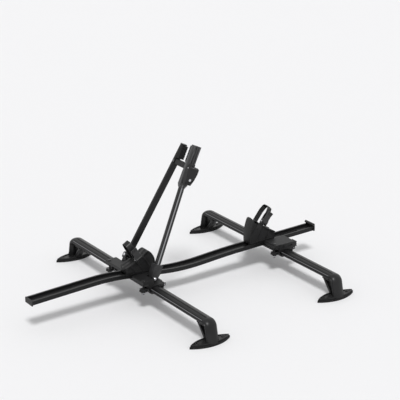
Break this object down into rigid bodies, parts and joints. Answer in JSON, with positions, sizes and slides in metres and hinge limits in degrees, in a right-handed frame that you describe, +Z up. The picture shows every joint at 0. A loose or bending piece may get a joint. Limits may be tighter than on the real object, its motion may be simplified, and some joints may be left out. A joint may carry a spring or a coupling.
{
  "type": "roof mounted bike carrier",
  "caption": "Roof bike carrier on two crossbars: a curved tray with strapped wheel chocks, and a leaning arm whose cam lever clamps a bicycle's frame.",
  "frame": {"origin": "on the roof's plane, midway along the tray and between the crossbars' ends", "axes": "+X along the tray towards the rear wheel, +Y across it away from the lever, +Z up"},
  "size_m": [1.4, 1.1354, 0.6353],
  "materials": {
    "black_anodised": "satin black anodised",
    "black_casting": "black powder-coated casting",
    "black_rubber": "matte",
    "black_plastic": "fine-grained moulded",
    "strap_plastic": "smooth flexible",
    "black_steel": "black coated steel",
    "bright_steel": "zinc plated"
  },
  "bodies": {
    "rack": {"crossbar_front": "black_anodised", "crossbar_rear": "black_anodised", "bar_strip_front": "black_rubber", "bar_strip_rear": "black_rubber", "leg_front_near": "black_casting", "leg_front_far": "black_casting", "leg_rear_near": "black_casting", "leg_rear_far": "black_casting", "foot_pads_front": "black_rubber", "foot_pads_rear": "black_rubber", "tray": "black_anodised", "tray_cap_front": "black_plastic", "tray_cap_rear": "black_plastic", "front_base": "black_plastic", "rear_base": "black_plastic", "saddle_pads": "black_rubber", "tray_bolts": "bright_steel", "rear_cover_near": "black_plastic", "rear_cover_far": "black_plastic", "clamp_screws": "bright_steel", "jaw_pins": "bright_steel", "pivot_bolts": "bright_steel", "chock_front": "black_plastic", "strap_front": "strap_plastic", "buckle_front": "black_steel"},
    "frame_arm": {"arm_knuckle_near": "black_casting", "arm_tube_near": "black_anodised", "arm_head": "black_casting", "head_wear_plate": "bright_steel", "jaw_pad_near": "black_rubber", "cross_guide": "black_plastic", "arm_yoke_far": "black_casting", "arm_yoke_pin": "bright_steel"},
    "tension_rod": {"tension_rod": "bright_steel", "barrel_nut": "bright_steel"},
    "clamp_lever": {"clamp_lever": "black_plastic", "lever_cams": "bright_steel", "lever_pin": "bright_steel"},
    "lock": {"lock_cylinder": "bright_steel"},
    "far_arm": {"arm_far": "black_anodised", "jaw_pad_far": "black_rubber"},
    "rear_chock": {"chock_rear": "black_plastic", "chock_fixing": "bright_steel", "strap_rear": "strap_plastic", "buckle_rear": "black_steel"},
    "buckle_lever_front": {"buckle_lever_front": "black_steel"},
    "buckle_lever_rear": {"buckle_lever_rear": "black_steel"},
    "jaw_front_near": {"clamp_jaw_front_near": "black_steel"},
    "washer_front_near": {"clamp_washer_front_near": "bright_steel"},
    "knob_front_near": {"clamp_knob_front_near": "black_plastic"},
    "jaw_front_far": {"clamp_jaw_front_far": "black_steel"},
    "washer_front_far": {"clamp_washer_front_far": "bright_steel"},
    "knob_front_far": {"clamp_knob_front_far": "black_plastic"},
    "jaw_rear_near": {"clamp_jaw_rear_near": "black_steel"},
    "washer_rear_near": {"clamp_washer_rear_near": "bright_steel"},
    "knob_rear_near": {"clamp_knob_rear_near": "black_plastic"},
    "jaw_rear_far": {"clamp_jaw_rear_far": "black_steel"},
    "washer_rear_far": {"clamp_washer_rear_far": "bright_steel"},
    "knob_rear_far": {"clamp_knob_rear_far": "black_plastic"}
  },
  "joints": [
    {"name": "arm_fold", "type": "hinge", "parent": "rack", "child": "frame_arm", "pos_m": [-0.173, 0, 0.1195], "axis": [0, 1, 0], "range_deg": [-26, 46]},
    {"name": "rod_slide", "type": "slide", "parent": "frame_arm", "child": "tension_rod", "axis": [0, 1, 0], "range_m": [0, 0.008]},
    {"name": "lever_open", "type": "hinge", "parent": "tension_rod", "child": "clamp_lever", "pos_m": [0.02786, -0.09585, 0.54442], "axis": [-0.9041, 0, 0.4274], "range_deg": [0, 115.1]},
    {"name": "lock_turn", "type": "hinge", "parent": "clamp_lever", "child": "lock", "pos_m": [0.0082, -0.09585, 0.50283], "axis": [0, 1, 0], "range_deg": [0, 90]},
    {"name": "far_arm_tilt", "type": "hinge", "parent": "frame_arm", "child": "far_arm", "pos_m": [-0.16061, 0.113, 0.14572], "axis": [-0.9041, 0, 0.4274], "range_deg": [0, 1.02]},
    {"name": "rear_chock_slide", "type": "slide", "parent": "rack", "child": "rear_chock", "axis": [0.9997, 0, 0.0235], "range_m": [-0.03, 0.036]},
    {"name": "washer_drop_front_near", "type": "slide", "parent": "rack", "child": "washer_front_near", "axis": [0, 0, -1], "range_m": [0, 0.005]},
    {"name": "knob_turn_front_near", "type": "hinge", "parent": "washer_front_near", "child": "knob_front_near", "pos_m": [-0.236, -0.125, 0.0935], "axis": [0, 0, -1], "range_deg": [0, 1441]},
    {"name": "jaw_swing_front_near", "type": "hinge", "parent": "rack", "child": "jaw_front_near", "pos_m": [-0.144, -0.125, 0.1], "axis": [0, -1, 0], "range_deg": [0, 3]},
    {"name": "washer_drop_front_far", "type": "slide", "parent": "rack", "child": "washer_front_far", "axis": [0, 0, -1], "range_m": [0, 0.005]},
    {"name": "knob_turn_front_far", "type": "hinge", "parent": "washer_front_far", "child": "knob_front_far", "pos_m": [-0.236, 0.138, 0.0935], "axis": [0, 0, -1], "range_deg": [0, 1441]},
    {"name": "jaw_swing_front_far", "type": "hinge", "parent": "rack", "child": "jaw_front_far", "pos_m": [-0.144, 0.138, 0.1], "axis": [0, -1, 0], "range_deg": [0, 3]},
    {"name": "washer_drop_rear_near", "type": "slide", "parent": "rack", "child": "washer_rear_near", "axis": [0, 0, -1], "range_m": [0, 0.005]},
    {"name": "knob_turn_rear_near", "type": "hinge", "parent": "washer_rear_near", "child": "knob_rear_near", "pos_m": [0.431, -0.116, 0.0935], "axis": [0, 0, -1], "range_deg": [0, 1441]},
    {"name": "jaw_swing_rear_near", "type": "hinge", "parent": "rack", "child": "jaw_rear_near", "pos_m": [0.523, -0.116, 0.1], "axis": [0, -1, 0], "range_deg": [0, 3]},
    {"name": "washer_drop_rear_far", "type": "slide", "parent": "rack", "child": "washer_rear_far", "axis": [0, 0, -1], "range_m": [0, 0.005]},
    {"name": "knob_turn_rear_far", "type": "hinge", "parent": "washer_rear_far", "child": "knob_rear_far", "pos_m": [0.431, 0.066, 0.0935], "axis": [0, 0, -1], "range_deg": [0, 1441]},
    {"name": "jaw_swing_rear_far", "type": "hinge", "parent": "rack", "child": "jaw_rear_far", "pos_m": [0.523, 0.066, 0.1], "axis": [0, -1, 0], "range_deg": [0, 3]},
    {"name": "buckle_open_front", "type": "hinge", "parent": "rack", "child": "buckle_lever_front", "pos_m": [-0.2155, -0.05835, 0.20374], "axis": [0.866, 0, 0.5], "range_deg": [0, 80]},
    {"name": "buckle_open_rear", "type": "hinge", "parent": "rear_chock", "child": "buckle_lever_rear", "pos_m": [0.41705, -0.05835, 0.21559], "axis": [0.7771, 0, -0.6293], "range_deg": [0, 80]}
  ],
  "couplings": [
    {"joint": "lever_open", "follows": "rod_slide", "rad_per_m": 250.89},
    {"joint": "far_arm_tilt", "follows": "rod_slide", "rad_per_m": 2.198},
    {"joint": "knob_turn_front_near", "follows": "washer_drop_front_near", "rad_per_m": 5026.5},
    {"joint": "jaw_swing_front_near", "follows": "washer_drop_front_near", "rad_per_m": 10.402},
    {"joint": "knob_turn_front_far", "follows": "washer_drop_front_far", "rad_per_m": 5026.5},
    {"joint": "jaw_swing_front_far", "follows": "washer_drop_front_far", "rad_per_m": 10.402},
    {"joint": "knob_turn_rear_near", "follows": "washer_drop_rear_near", "rad_per_m": 5026.5},
    {"joint": "jaw_swing_rear_near", "follows": "washer_drop_rear_near", "rad_per_m": 10.402},
    {"joint": "knob_turn_rear_far", "follows": "washer_drop_rear_far", "rad_per_m": 5026.5},
    {"joint": "jaw_swing_rear_far", "follows": "washer_drop_rear_far", "rad_per_m": 10.402}
  ]
}
